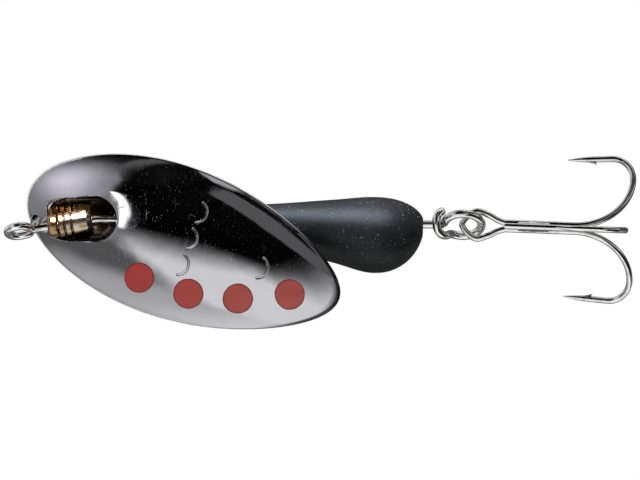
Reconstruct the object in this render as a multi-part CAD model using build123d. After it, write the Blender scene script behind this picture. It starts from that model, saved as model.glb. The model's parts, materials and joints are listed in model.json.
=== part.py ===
from build123d import *
import math
import os

# Inline spinner. Millimetres, +X along the straight rear part of the shaft towards the hook,
# +Z up, -Y towards the side the blade's domed face looks at. The origin is the centre of the
# line eye, and at rest the blade's long axis lies close to the XZ plane.

# ---- driving dimensions -------------------------------------------------------------------
WIRE_RADIUS = 0.4             # shaft wire
HOOK_WIRE_RADIUS = 0.3
RUNNING_CLEARANCE = 0.05      # radial, between the shaft wire and whatever turns on it

BEND_X = 7.55                 # the shaft's one bend, between the bearing and the blade's hole
BEND_Z = 1.22
BEND_RADIUS = 3.0
EYE_RADIUS = 1.08             # line eye, to the wire's centre line
EYE_NECK_RADIUS = 0.6         # the wire's first bend into the loop
REAR_LOOP_X = 42.66           # centre of the loop that holds the hook
REAR_LOOP_RADIUS = 1.8
REAR_LOOP_NECK_RADIUS = 0.5
EYE_TILT = 65.0               # turn of each loop's plane about the shaft, from standing upright
REAR_LOOP_TILT = 54.0
EYE_RING_END = 280.0          # degrees round from the neck where each loop turns back to the shaft
REAR_LOOP_RING_END = 295.0
# The wire's last turn round the shaft: where it starts, its heading there and where it is cut off,
# each from the loop's centre as (towards the neck, up, towards -Y).
EYE_WRAP = ((1.2, -0.1, -1.02), (0.5, 0.93, 0.2), (1.76, 0.98, 0.3))
REAR_LOOP_WRAP = ((1.7, -1.05, 0.05), (0.68, 0.0, 0.73), (2.0, 1.25, 0.1))

BEAD_START = 2.78             # distances along the front part of the shaft, from the eye's centre
BEAD_END = 3.78
BEAD_RADIUS = 1.1
BEARING_START = 3.84
BEARING_END = 7.1
BEARING_RADIUS = 1.15
BEAD_CHAMFER = 0.3
BEARING_CHAMFER = 0.35
BEARING_GROOVES = (0.62, 1.3)  # distances from the bearing's front end
GROOVE_DEPTH = 0.12
GROOVE_WIDTH = 0.22

BLADE_THICKNESS = 0.45
BLADE_HALF_LENGTH = 15.85
BLADE_HALF_WIDTH = 7.35
BLADE_CENTRE = (15.81, -1.11)  # X and Z of the middle of the outline
BLADE_TURN = -18.2            # the long axis runs down towards the hook
BLADE_TAPER = -0.117          # change of half width from the middle to the rear end
BLADE_FULLNESS = -0.12        # change of half width at both ends
RIM_CROSSING_X = 9.2          # where the plane of the rim crosses the shaft
RIM_SLOPE = 15.6              # the rim leans out from the shaft towards the hook
DOME_HEIGHT = 2.6
DOME_SHOULDER = 0.45          # share of the dome that falls away close to the rim

POCKET_RADIUS = 2.1           # pressed pocket that the bearing lies in, a trough with a round rear end
POCKET_FRONT = (-4.85, 0.26, 0.45)  # ends of the trough's centre line, from the shaft's bend:
POCKET_REAR = (-0.4, 0.10, 0.70)    # along the blade's spin axis, up from it, towards -Y
POCKET_DRAFT = 8.0
POCKET_DEPTH = 6.0            # of the drafted walls, enough to reach out of the sheet
HOLE_RADIUS = 0.8

DOT_RADIUS = 1.45
DOT_THICKNESS = 0.07
DOT_GAP = 0.01                # between the enamel and the sheet
DOT_CENTRES = ((11.7, -4.3), (16.45, -5.75), (21.2, -6.14), (26.14, -5.67))

RIB_DEPTH = 0.12              # pressed arcs on the blade
RIB_WIDTH = 0.26
RIB_RADIUS = 1.05
RIB_SWEEP = 150.0
RIB_CENTRES = ((17.1, 2.1), (16.2, -0.4), (15.4, -2.9), (23.0, -3.1))

BODY_FRONT_X = 10.35
BODY_WIDE_X = 34.4            # the body's fattest section
BODY_REAR_X = 38.95           # where the round rear end would close, just past its flat tip
BODY_STATIONS = (             # X, height above the shaft, depth below it
    (BODY_FRONT_X, 1.25, 1.25),
    (14.0, 1.36, 1.36),
    (19.0, 1.52, 1.60),
    (24.2, 1.75, 2.20),
    (30.3, 2.25, 3.85),
    (BODY_WIDE_X, 2.55, 4.76),
)
BODY_CAP_SHARES = (0.3, 0.55, 0.75, 0.9, 0.97)

TREBLE_DROOP = 1.3            # at rest the treble hangs down a little and leans towards -Y
TREBLE_LEAN = 7.0
TREBLE_EYE_REACH = 1.88       # the eye's front wire, ahead of the pivot
TREBLE_EYE_RADIUS = 1.29
TREBLE_EYE_CENTRE = -0.6
TREBLE_EYE_FLANK = ((1.5, 0.56), (0.6, 1.02))  # where the eye narrows into the two shanks
SHANK_START = 2.3             # distances along the treble from the pivot
SHANK_END = 7.6
SHANK_HALF_GAP = 0.31         # half the distance between the double hook's shank wires
SINGLE_HOOK_RISE = 0.557      # how far the single hook's shank lies in front of those two
HOOK_BEND_START = 8.9
HOOK_REACH = 14.25            # the bend's far end, to the wire's centre line
HOOK_WIDE_RISE = 5.1          # height over the shank where the bend is furthest back
HOOK_CORNER_LENGTH = 2.05     # the tighter curve from there to the leg
HOOK_CORNER_HEIGHT = 2.45
HOOK_CORNER_SWEEP = 95.0
POINT_START = 10.2
POINT_END = 7.8
POINT_TIP_RADIUS = 0.04
BRAZE_START = 2.9
BRAZE_END = 7.2
BRAZE_ROUND = 0.26            # radius of its rounded corners
HOOK_SPREAD = 120.0           # turn from one hook to the next, round the shank
BARB_OUTLINE = ((-0.9, -0.15), (0.45, -0.55), (0.2, -0.15))  # from the start of the point
BARB_WIDTH = 0.2

# ---- directions and axes ------------------------------------------------------------------
FRONT_ANGLE = math.degrees(math.atan2(BEND_Z, BEND_X))
BLADE_SPIN_ANGLE = FRONT_ANGLE / 2
REAR_LOOP_END_X = REAR_LOOP_X + REAR_LOOP_RADIUS


def direction(angle):
    """Unit vector in the XZ plane, angle in degrees above +X."""
    return Vector(math.cos(math.radians(angle)), 0, math.sin(math.radians(angle)))


def axis_plane(start, angle):
    """Plane square to a direction in the XZ plane, which its local z runs along."""
    along = direction(angle)
    return Plane(origin=start, x_dir=(0, -1, 0), z_dir=along)


FRONT_PLANE = axis_plane((0, 0, 0), FRONT_ANGLE)
REAR_PLANE = axis_plane((0, 0, BEND_Z), 0)
BLADE_SPIN_PLANE = axis_plane((BEND_X, 0, BEND_Z), BLADE_SPIN_ANGLE)
NEAR = Vector(0, -1, 0)       # the way the domed face looks


# ---- blade surface ------------------------------------------------------------------------
def blade_point(u, v):
    """X and Z of a point given along (u) and across (v) the blade's long axis."""
    turn = math.radians(BLADE_TURN)
    x = BLADE_CENTRE[0] + u * math.cos(turn) - v * math.sin(turn)
    z = BLADE_CENTRE[1] + u * math.sin(turn) + v * math.cos(turn)
    return x, z


def blade_half_width(u):
    share = u / BLADE_HALF_LENGTH
    return BLADE_HALF_WIDTH * (1 + BLADE_TAPER * share + BLADE_FULLNESS * share**2)


def dome_height(u, v):
    """Height of the dome above the plane of the rim: full in the middle, nothing at the rim."""
    ring = (u / BLADE_HALF_LENGTH) ** 2 + (v / blade_half_width(u)) ** 2
    return DOME_HEIGHT * (1 - (1 - DOME_SHOULDER) * ring - DOME_SHOULDER * ring**2)


def blade_surface(u, v, lift=0.0):
    """Point on the blade's domed face, moved out along its normal by lift."""
    step = 1e-3
    x, z = blade_point(u, v)
    slope = math.tan(math.radians(RIM_SLOPE))
    turn = math.radians(BLADE_TURN)
    out = (x - RIM_CROSSING_X) * slope + dome_height(u, v)
    rise_u = (dome_height(u + step, v) - dome_height(u - step, v)) / (2 * step)
    rise_v = (dome_height(u, v + step) - dome_height(u, v - step)) / (2 * step)
    rise_u += slope * math.cos(turn)
    rise_v -= slope * math.sin(turn)
    out += lift * math.sqrt(1 + rise_u**2 + rise_v**2)
    return Vector(x, -out, z)


def behind_surface(lift, margin=0.0):
    """Solid that holds everything behind the domed face, after moving the face by lift."""
    columns, rows, depth = 25, 15, 30.0
    reach_u = BLADE_HALF_LENGTH + 1.5 + margin
    reach_v = BLADE_HALF_WIDTH + 1.0 + margin
    grid = [
        [
            blade_surface(reach_u * (2 * i / columns - 1), reach_v * (2 * j / rows - 1), lift)
            for j in range(rows + 1)
        ]
        for i in range(columns + 1)
    ]
    face = Face.make_surface_from_array_of_points(grid, tol=1e-3, min_deg=3, max_deg=5)
    return Solid.extrude(face, Vector(0, depth + margin, 0))


def blade_outline():
    """The blade's rim as seen square-on, as one closed smooth face in the XZ plane."""
    points = []
    count = 36
    for i in range(count):
        turn = 2 * math.pi * i / count
        u = BLADE_HALF_LENGTH * math.cos(turn)
        v = blade_half_width(u) * math.sin(turn)
        x, z = blade_point(u, v)
        points.append(Vector(x, 0, z))
    return make_face(Spline(*points, periodic=True)).face()


def through_blade(face, reach=25.0):
    """Prism from a face in the XZ plane, right through the blade both ways."""
    return Solid.extrude(face.moved(Location((0, -reach, 0))), Vector(0, 2 * reach, 0))


def pocket_outline(length, radius):
    """Half outline of the pocket, back along its centre line from the round rear end's centre."""
    side = Line((-length, radius), (0, radius))
    return Line((-length, 0), (-length, radius)), side, CenterArc((0, 0), radius, 90, -90)


def pocket(grow):
    """The pocket's inside (grow 0) or its outside (grow = sheet thickness), with open walls."""
    spin = BLADE_SPIN_PLANE
    front, rear = (
        spin.origin + spin.z_dir * along + direction(BLADE_SPIN_ANGLE + 90) * up + NEAR * near
        for along, up, near in (POCKET_FRONT, POCKET_REAR)
    )
    centre_line = (rear - front).normalized()
    outward = (NEAR - centre_line * NEAR.dot(centre_line)).normalized()
    lie = Plane(origin=rear, x_dir=centre_line, z_dir=outward)
    length = (rear - front).length + grow
    half = pocket_outline(length, POCKET_RADIUS + grow)
    base = Line(half[0] @ 0, half[2] @ 1)
    trough = revolve(lie * make_face([*half, base]), Axis(rear, centre_line))
    flare = POCKET_DEPTH * math.tan(math.radians(POCKET_DRAFT))
    rims = []
    for lift, spread in ((0, 0), (POCKET_DEPTH, flare)):
        edges = pocket_outline(length + spread, POCKET_RADIUS + grow + spread)
        whole = make_face([*edges, *(mirror(edge, Plane.XZ) for edge in edges)])
        rims.append(lie.offset(lift) * whole)
    return trough + loft(rims)


def make_rib(centre):
    """Crescent outline of one pressed arc, in the XZ plane."""
    x, z = centre
    half = math.radians(RIB_SWEEP / 2)
    middle = math.radians(BLADE_TURN)
    ring = Circle(RIB_RADIUS + RIB_WIDTH / 2) - Circle(RIB_RADIUS - RIB_WIDTH / 2)

    def on_ring(turn, radius):
        return radius * math.cos(turn), radius * math.sin(turn)

    far = 2 * RIB_RADIUS
    wedge = make_face(Polyline(
        (0, 0), on_ring(middle - half, far), on_ring(middle, 2 * far), on_ring(middle + half, far), close=True
    ))
    arc = ring & wedge
    for side in (-1, 1):
        arc = arc + Pos(*on_ring(middle + side * half, RIB_RADIUS)) * Circle(RIB_WIDTH / 2)
    return Pos(x, 0, z) * (Plane(origin=(0, 0, 0), x_dir=(1, 0, 0), z_dir=(0, -1, 0)) * arc)


def make_blade():
    sheet = behind_surface(0) - behind_surface(-BLADE_THICKNESS, 1.0)
    outline = through_blade(blade_outline())
    face_side = behind_surface(0)
    outer, inner = pocket(BLADE_THICKNESS), pocket(0)
    cup = (outer - inner) & face_side & outline
    dish = (sheet & outline) - outer
    blade = dish + cup
    hole = extrude(BLADE_SPIN_PLANE.offset(POCKET_REAR[0]) * Circle(HOLE_RADIUS), amount=2 * POCKET_RADIUS)
    blade = blade - hole
    pressed = behind_surface(-RIB_DEPTH, 2.0)
    for centre in RIB_CENTRES:
        for part in make_rib(centre).faces():
            blade = blade - (through_blade(part) - pressed)
    return blade


def make_dots():
    skin = behind_surface(DOT_THICKNESS + DOT_GAP, 1.0) - behind_surface(DOT_GAP, 2.0)
    discs = []
    for x, z in DOT_CENTRES:
        circle = Plane(origin=(x, 0, z), x_dir=(1, 0, 0), z_dir=(0, -1, 0)) * Circle(DOT_RADIUS)
        discs += (skin & through_blade(circle.face())).solids()
    return Compound(discs)


# ---- shaft --------------------------------------------------------------------------------
def swept_wire(edges, radius):
    """Round wire along edges that join end to end without a kink."""
    path = Wire([edge.edge() for edge in edges])
    start = Plane(origin=path @ 0, z_dir=path % 0)
    return sweep(start * Circle(radius), path=path)


def wire_loop(neck_way, up, centre, size, ring_end, wrap):
    """Edges of a loop at the end of the shaft, from its neck to its cut end.

    neck_way points from the loop's centre to its neck. size is (radius, neck bend radius, tilt of
    the loop's upper half towards -Y). The ring stops at ring_end, in degrees round from the neck,
    and the wire then closes round the shaft: wrap is (start, heading there, end), each given as
    (towards the neck, up, towards -Y).
    """
    radius, neck_radius, tilt = size
    lift = up * math.cos(math.radians(tilt)) + NEAR * math.sin(math.radians(tilt))

    def local(toward_neck, rise, nearness):
        return neck_way * toward_neck + up * rise + NEAR * nearness

    reach = math.sqrt(radius**2 + 2 * radius * neck_radius)
    neck = centre + neck_way * reach
    touch = centre + (neck_way * reach + lift * neck_radius) * (radius / (radius + neck_radius))
    turn = math.radians(ring_end)
    stop = centre + neck_way * (radius * math.cos(turn)) + lift * (radius * math.sin(turn))
    bend = TangentArc(neck, touch, tangent=-neck_way)
    ring = ThreePointArc(touch, centre - neck_way * radius, stop)
    wrap_start, wrap_end = centre + local(*wrap[0]), centre + local(*wrap[2])
    heading = local(*wrap[1]).normalized()
    handle = 0.4 * (wrap_start - stop).length
    turn_in = Bezier(stop, stop + (ring % 1) * handle, wrap_start - heading * handle, wrap_start)
    return bend, ring, turn_in, TangentArc(wrap_start, wrap_end, tangent=heading)


def make_shaft():
    front, rear = direction(FRONT_ANGLE), direction(0)
    bend = Vector(BEND_X, 0, BEND_Z)
    bend_reach = BEND_RADIUS * math.tan(math.radians(FRONT_ANGLE / 2))
    before, after = bend - front * bend_reach, bend + rear * bend_reach
    line_eye = wire_loop(
        front, direction(FRONT_ANGLE + 90), Vector(0, 0, 0),
        (EYE_RADIUS, EYE_NECK_RADIUS, EYE_TILT), EYE_RING_END, EYE_WRAP,
    )
    rear_loop = wire_loop(
        -rear, direction(90), Vector(REAR_LOOP_X, 0, BEND_Z),
        (REAR_LOOP_RADIUS, REAR_LOOP_NECK_RADIUS, REAR_LOOP_TILT), REAR_LOOP_RING_END, REAR_LOOP_WRAP,
    )
    straight = (
        Line(line_eye[0] @ 0, before),
        TangentArc(before, after, tangent=front),
        Line(after, rear_loop[0] @ 0),
    )
    return swept_wire(line_eye, WIRE_RADIUS) + swept_wire(rear_loop, WIRE_RADIUS) + swept_wire(
        straight, WIRE_RADIUS
    )


# ---- pieces that turn on the shaft --------------------------------------------------------
def make_turned(points, plane):
    """Ring turned from a closed half profile of (distance along the axis, radius)."""
    profile = make_face(Polyline(*points, close=True))
    lie = Plane(origin=plane.origin, x_dir=plane.z_dir, z_dir=(0, -1, 0))
    return revolve(lie * profile, Axis(plane.origin, plane.z_dir))


def make_bead():
    bore = WIRE_RADIUS + RUNNING_CLEARANCE
    return make_turned(
        (
            (BEAD_START, bore),
            (BEAD_START, BEAD_RADIUS - BEAD_CHAMFER),
            (BEAD_START + 0.6 * BEAD_CHAMFER, BEAD_RADIUS - 0.3 * BEAD_CHAMFER),
            (BEAD_START + 1.6 * BEAD_CHAMFER, BEAD_RADIUS),
            (BEAD_END - 0.4 * BEAD_CHAMFER, BEAD_RADIUS),
            (BEAD_END, BEAD_RADIUS - 0.4 * BEAD_CHAMFER),
            (BEAD_END, bore),
        ),
        FRONT_PLANE,
    )


def make_bearing():
    bore = WIRE_RADIUS + RUNNING_CLEARANCE
    points = [
        (BEARING_START, bore),
        (BEARING_START, BEARING_RADIUS - 0.3 * BEARING_CHAMFER),
        (BEARING_START + 0.3 * BEARING_CHAMFER, BEARING_RADIUS),
    ]
    for distance in BEARING_GROOVES:
        x = BEARING_START + distance
        points += [
            (x - GROOVE_WIDTH / 2, BEARING_RADIUS),
            (x - GROOVE_WIDTH / 4, BEARING_RADIUS - GROOVE_DEPTH),
            (x + GROOVE_WIDTH / 4, BEARING_RADIUS - GROOVE_DEPTH),
            (x + GROOVE_WIDTH / 2, BEARING_RADIUS),
        ]
    points += [
        (BEARING_END - 1.4 * BEARING_CHAMFER, BEARING_RADIUS),
        (BEARING_END - 0.5 * BEARING_CHAMFER, BEARING_RADIUS - 0.35 * BEARING_CHAMFER),
        (BEARING_END, BEARING_RADIUS - 1.1 * BEARING_CHAMFER),
        (BEARING_END, bore),
    ]
    return make_turned(points, FRONT_PLANE)


def body_section(x, above, below):
    return Plane(
        origin=(x, 0, BEND_Z + (above - below) / 2), x_dir=(0, -1, 0), z_dir=(1, 0, 0)
    ) * Circle((above + below) / 2)


def make_body():
    _, wide_above, wide_below = BODY_STATIONS[-1]
    cap = BODY_REAR_X - BODY_WIDE_X
    sections = [body_section(*station) for station in BODY_STATIONS]
    for share in BODY_CAP_SHARES:
        shrink = math.sqrt(1 - share**2)
        sections.append(
            body_section(BODY_WIDE_X + cap * share, wide_above * shrink, wide_below * shrink)
        )
    body = loft(sections)
    bore = extrude(
        REAR_PLANE.offset(BODY_FRONT_X - 1) * Circle(WIRE_RADIUS + RUNNING_CLEARANCE),
        amount=BODY_REAR_X - BODY_FRONT_X + 2,
    )
    return body - bore


# ---- treble hook --------------------------------------------------------------------------
# The treble is drawn with its shank along local x, its eye in the local xy plane, the single hook
# on the local z side and the origin where its eye hangs in the rear loop.
def treble_plane():
    """Where that drawing lies on the lure."""
    lean, droop = math.radians(TREBLE_LEAN), math.radians(TREBLE_DROOP)
    along = Vector(
        math.cos(lean) * math.cos(droop), -math.sin(lean) * math.cos(droop), -math.sin(droop)
    )
    near = Vector(-math.sin(lean), -math.cos(lean), 0)
    return Plane(origin=(REAR_LOOP_END_X, 0, BEND_Z), x_dir=along, z_dir=near)


def make_hook(base_y, base_z, turn):
    """One hook with its shank wire at (base_y, base_z); turn spreads it round the shank."""
    rise = HOOK_WIDE_RISE
    bend = EllipticalCenterArc(
        (HOOK_BEND_START, rise), HOOK_REACH - HOOK_BEND_START, rise, start_angle=270, arc_size=90
    )
    corner = EllipticalCenterArc(
        (HOOK_REACH - HOOK_CORNER_LENGTH, rise), HOOK_CORNER_LENGTH, HOOK_CORNER_HEIGHT,
        start_angle=0, arc_size=HOOK_CORNER_SWEEP,
    )
    leg_end = corner @ 1 + (corner % 1) * (((corner @ 1).X - POINT_START) / -(corner % 1).X)
    tip = leg_end + (corner % 1) * (POINT_START - POINT_END)
    wire = swept_wire(
        (Line((SHANK_START, 0), bend @ 0), bend, corner, Line(corner @ 1, leg_end)), HOOK_WIRE_RADIUS
    )
    reach = tip - leg_end
    point = Solid.make_cone(
        HOOK_WIRE_RADIUS, POINT_TIP_RADIUS, reach.length, Plane(origin=leg_end, z_dir=reach)
    )
    return Pos(0, base_y, base_z) * Rot(turn, 0, 0) * (wire + point + make_barb(leg_end))


def make_barb(leg_end):
    """Spur cut up from the inside of the point; its tip looks back at the bend."""
    profile = make_face(Polyline(*(leg_end + Vector(*corner) for corner in BARB_OUTLINE), close=True))
    return extrude(profile, amount=BARB_WIDTH / 2, both=True)


def make_double_hook():
    upper = make_hook(SHANK_HALF_GAP, 0, 90 - HOOK_SPREAD)
    lower = make_hook(-SHANK_HALF_GAP, 0, 90 + HOOK_SPREAD)
    flank = (
        (SHANK_START, SHANK_HALF_GAP), *TREBLE_EYE_FLANK, (TREBLE_EYE_CENTRE, TREBLE_EYE_RADIUS)
    )
    bottom = [(x, -y) for x, y in reversed(flank)]
    eye = Spline(*flank, (-TREBLE_EYE_REACH, 0), *bottom, tangents=[(-1, 0), (1, 0)])
    return swept_wire((eye,), HOOK_WIRE_RADIUS) + upper + lower


def make_single_hook():
    return make_hook(0, SINGLE_HOOK_RISE, 90)


def make_braze(hooks):
    """Solder that fills the valleys between the three shank wires."""
    plane = Plane(origin=(BRAZE_START, 0, 0), x_dir=(0, 1, 0), z_dir=(1, 0, 0))
    centres = ((SHANK_HALF_GAP, 0), (-SHANK_HALF_GAP, 0), (0, SINGLE_HOOK_RISE))
    hull = make_hull([edge for c in centres for edge in (Pos(*c) * Circle(BRAZE_ROUND)).edges()])
    filler = extrude(plane * hull, amount=BRAZE_END - BRAZE_START)
    for hook in hooks:
        filler = filler - hook
    return filler


# ---- output -------------------------------------------------------------------------------
def main():
    os.makedirs("parts", exist_ok=True)
    double_hook, single_hook = make_double_hook(), make_single_hook()
    braze = make_braze((double_hook, single_hook))
    hang = treble_plane()
    nodes = {
        "shaft_wire": make_shaft(),
        "front_bead": make_bead(),
        "bearing_sleeve": make_bearing(),
        "blade": make_blade(),
        "enamel_dots": make_dots(),
        "body_weight": make_body(),
        "treble_double_hook": hang * double_hook,
        "treble_single_hook": hang * single_hook,
        "treble_braze": hang * braze,
    }
    for name, shape in nodes.items():
        export_step(shape, f"parts/{name}.step")


main()
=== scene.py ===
import json
from math import asin, atan2, cos, pi, radians, sin, sqrt, tan

import bmesh
import bpy
import numpy as np
from mathutils import Matrix, Vector
from numpy.linalg import norm


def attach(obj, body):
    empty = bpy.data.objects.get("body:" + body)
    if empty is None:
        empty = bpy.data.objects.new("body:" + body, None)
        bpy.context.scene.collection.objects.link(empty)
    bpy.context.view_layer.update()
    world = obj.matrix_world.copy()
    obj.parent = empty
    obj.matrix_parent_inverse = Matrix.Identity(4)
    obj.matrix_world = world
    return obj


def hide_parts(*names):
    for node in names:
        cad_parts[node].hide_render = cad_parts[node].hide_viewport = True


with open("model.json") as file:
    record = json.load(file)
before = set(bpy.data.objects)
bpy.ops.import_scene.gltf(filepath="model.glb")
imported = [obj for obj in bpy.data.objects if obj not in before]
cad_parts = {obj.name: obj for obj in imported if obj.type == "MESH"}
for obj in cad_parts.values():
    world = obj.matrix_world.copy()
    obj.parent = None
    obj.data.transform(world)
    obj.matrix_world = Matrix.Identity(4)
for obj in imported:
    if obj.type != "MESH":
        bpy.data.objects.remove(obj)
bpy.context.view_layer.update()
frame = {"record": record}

scene = bpy.context.scene

# Inline spinner. Shapes are worked out in millimetres in the part's own frame: +X along the rear
# part of the shaft towards the hook, +Z up, -Y the way the blade's domed face looks.
MM = 0.001


def joint_place(name):
    """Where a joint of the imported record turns, in millimetres."""
    joint = next(j for j in frame["record"]["behaviour"]["joints"] if j["name"] == name)
    return np.array(joint["pos_m"]) / MM


# ---- sizes shared with the CAD part, in millimetres and degrees
WIRE_RADIUS = 0.4
HOOK_WIRE_RADIUS = 0.3
BORE_RADIUS = 0.45
BEND = joint_place("blade_spin")            # the shaft's one bend
TREBLE_PIVOT = joint_place("treble_swing")  # the far end of the shaft's rear loop
FRONT_ANGLE = atan2(BEND[2], BEND[0])
BLADE_SPIN_ANGLE = FRONT_ANGLE / 2          # the blade's axis is the mean of the two straight parts
BEND_RADIUS = 3.0
# Each loop: radius, radius of its neck, turn of its plane about the shaft, and where it turns back.
EYE_LOOP = (1.08, 0.6, 65.0, 280.0)
REAR_LOOP = (1.8, 0.5, 54.0, 295.0)
# The wire's last turn round the shaft: its start, its heading there and its cut end, each from the
# loop's centre as (towards the neck, up, towards -Y).
EYE_WRAP = ((1.2, -0.1, -1.02), (0.5, 0.93, 0.2), (1.76, 0.98, 0.3))
REAR_LOOP_WRAP = ((1.7, -1.05, 0.05), (0.68, 0.0, 0.73), (2.0, 1.25, 0.1))

# Distances along the front part of the shaft, from the line eye's centre.
BEAD_START, BEAD_END, BEAD_RADIUS = 2.78, 3.78, 1.1
BEARING_START, BEARING_END, BEARING_RADIUS = 3.84, 7.1, 1.15
BEARING_GROOVES, GROOVE_WIDTH, GROOVE_DEPTH = (0.62, 1.3), 0.22, 0.12

BLADE_THICKNESS = 0.45
BLADE_HALF_LENGTH, BLADE_HALF_WIDTH = 15.85, 7.35
BLADE_CENTRE = (15.81, -1.11)
BLADE_TURN = radians(-18.2)
BLADE_TAPER, BLADE_FULLNESS = -0.117, -0.12
RIM_CROSSING_X, RIM_SLOPE = 9.2, tan(radians(15.6))
DOME_HEIGHT, DOME_SHOULDER = 2.6, 0.45
POCKET_RADIUS = 2.1
# Ends of the pocket's middle line: along the blade's axis from the bend, across it, and towards -Y.
POCKET_FRONT = np.array((-4.85, 0.26, 0.45))
POCKET_REAR = np.array((-0.4, 0.10, 0.70))
POCKET_DRAFT = tan(radians(8.0))
POCKET_FRONT_ROOM = 0.12      # extra length that keeps the pocket's front wall off the bead
POCKET_LIP, POCKET_BACK_LIP = 0.4, 0.9  # how widely the sheet rounds over into the pocket
LIP_BAND = 0.22               # width of sheet beyond the pocket that gets the finer mesh
POCKET_MIDDLE = (6.2, 1.2)    # where the blade's mesh starts
HOLE_RADIUS = 0.8
DOT_RADIUS = 1.45
DOT_CENTRES = ((11.7, -4.3), (16.45, -5.75), (21.2, -6.14), (26.14, -5.67))
RIB_RADIUS, RIB_SWEEP, RIB_BAR_RADIUS, RIB_BAR_LIFT = 1.05, 150.0, 0.16, 0.05
RIB_CENTRES = ((17.1, 2.1), (16.2, -0.4), (15.4, -2.9), (23.0, -3.1))

BODY_STATIONS = np.array((
    (10.35, 1.25, 1.25), (14.0, 1.36, 1.36), (19.0, 1.52, 1.60),
    (24.2, 1.75, 2.20), (30.3, 2.25, 3.85), (34.4, 2.55, 4.76),
))
BODY_REAR_X = 38.95
BODY_CAP_SHARE = 0.97         # how much of the rear cap there is before its flat end

TREBLE_DROOP, TREBLE_LEAN = radians(1.3), radians(7.0)
TREBLE_EYE_REACH, TREBLE_EYE_RADIUS, TREBLE_EYE_CENTRE = 1.88, 1.29, -0.6
TREBLE_EYE_FLANK = ((1.5, 0.56), (0.6, 1.02))
SHANK_START, SHANK_HALF_GAP, SINGLE_HOOK_RISE = 2.3, 0.31, 0.557
HOOK_BEND_START, HOOK_REACH, HOOK_WIDE_RISE = 8.9, 14.25, 5.1
HOOK_CORNER_LENGTH, HOOK_CORNER_HEIGHT, HOOK_CORNER_SWEEP = 2.05, 2.45, 95.0
POINT_START, POINT_END, POINT_TIP_RADIUS = 10.2, 7.8, 0.04
BRAZE_START, BRAZE_END = 2.9, 7.2


# ---- mesh helpers
def solid(name, verts, faces):
    """An object in the scene from vertices in millimetres, with its faces turned outward."""
    mesh = bpy.data.meshes.new(name)
    mesh.from_pydata([tuple(v) for v in np.asarray(verts) * MM], [], faces)
    mesh.validate()
    outward = bmesh.new()
    outward.from_mesh(mesh)
    bmesh.ops.recalc_face_normals(outward, faces=outward.faces)
    outward.to_mesh(mesh)
    outward.free()
    obj = bpy.data.objects.new(name, mesh)
    scene.collection.objects.link(obj)
    return obj


def piece(name, shape, material, body, node):
    """A smooth-shaded piece that rides on a CAD body and is shown in place of a CAD node."""
    obj = solid(name, *shape)
    obj.data.polygons.foreach_set("use_smooth", [True] * len(obj.data.polygons))
    obj.data.materials.append(material)
    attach(obj, body)
    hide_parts(node)
    # the frame's own materials have the same names, so Blender adds a number to these
    return obj


def ring_faces(rings, around, first=0, closed=False):
    """Quads between successive rings of vertices, and from the last ring to the first where closed."""
    faces = []
    for i in range(rings if closed else rings - 1):
        a, b = first + i * around, first + (i + 1) % rings * around
        for j in range(around):
            k = (j + 1) % around
            faces.append((a + j, a + k, b + k, b + j))
    return faces


def fan_faces(rings, around):
    """Faces of a shell of rings, with one vertex before the first ring and one after the last."""
    faces = [(0, 1 + j, 1 + (j + 1) % around) for j in range(around)]
    faces += [tuple(reversed(f)) for f in ring_faces(rings, around, 1)]
    last = 1 + (rings - 1) * around
    return faces + [(last + around, last + (j + 1) % around, last + j) for j in range(around)]


def tube_faces(rings, around):
    """Faces of a bar of rings, flat at both ends."""
    faces = ring_faces(rings, around)
    faces.append(tuple(range(around - 1, -1, -1)))
    faces.append(tuple(range((rings - 1) * around, rings * around)))
    return [tuple(reversed(f)) for f in faces]


def joined(parts):
    """One vertex list and face list from several."""
    verts, faces = [], []
    for part_verts, part_faces in parts:
        start = len(verts)
        verts.extend(part_verts)
        faces.extend(tuple(i + start for i in f) for f in part_faces)
    return verts, faces


def unit(v):
    return v / norm(v)


def cos_sin(angle):
    return cos(angle), sin(angle)


def once_round(count):
    """Angles spaced evenly once round a circle."""
    return np.linspace(0, 2 * pi, count, endpoint=False)


def tube(points, radius, around=32, edge=0.05):
    """Round wire along points; radius is one number or one per point. Its cut ends are eased."""
    points = np.asarray(points, float)
    keep = np.r_[True, norm(np.diff(points, axis=0), axis=1) > 1e-6]
    points = points[keep]
    radii = np.full(len(points), radius) if np.isscalar(radius) else np.asarray(radius)[keep]
    tangents = np.gradient(points, axis=0)
    tangents /= norm(tangents, axis=1)[:, None]
    side = unit(np.cross(tangents[0], (0.31, 0.87, 0.38)))    # square to the wire, otherwise any way
    turns = once_round(around)
    start_edge, end_edge = min(edge, radii[0] * 0.5), min(edge, radii[-1] * 0.5)
    rows = list(zip(points, tangents, radii))
    for ahead, inward in ((0.7, 0.3), (1.0, 1.0)):
        start = points[0] - tangents[0] * start_edge * ahead
        end = points[-1] + tangents[-1] * end_edge * ahead
        rows.insert(0, (start, tangents[0], radii[0] - start_edge * inward))
        rows.append((end, tangents[-1], radii[-1] - end_edge * inward))
    verts = []
    for centre, tangent, size in rows:
        side = unit(side - tangent * np.dot(side, tangent))
        other = np.cross(tangent, side)
        verts += [centre + size * (cos(t) * side + sin(t) * other) for t in turns]
    return verts, tube_faces(len(rows), around)


def turned(profile, around=96):
    """Ring round the front of the shaft from a closed outline of (distance along, radius)."""
    along = in_xz(FRONT_ANGLE)
    side = np.array((0.0, -1.0, 0.0))
    up = np.cross(side, along)
    verts = []
    for distance, radius in profile:
        for t in once_round(around):
            verts.append(along * distance + radius * (cos(t) * side + sin(t) * up))
    return verts, ring_faces(len(profile), around, closed=True)


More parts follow.
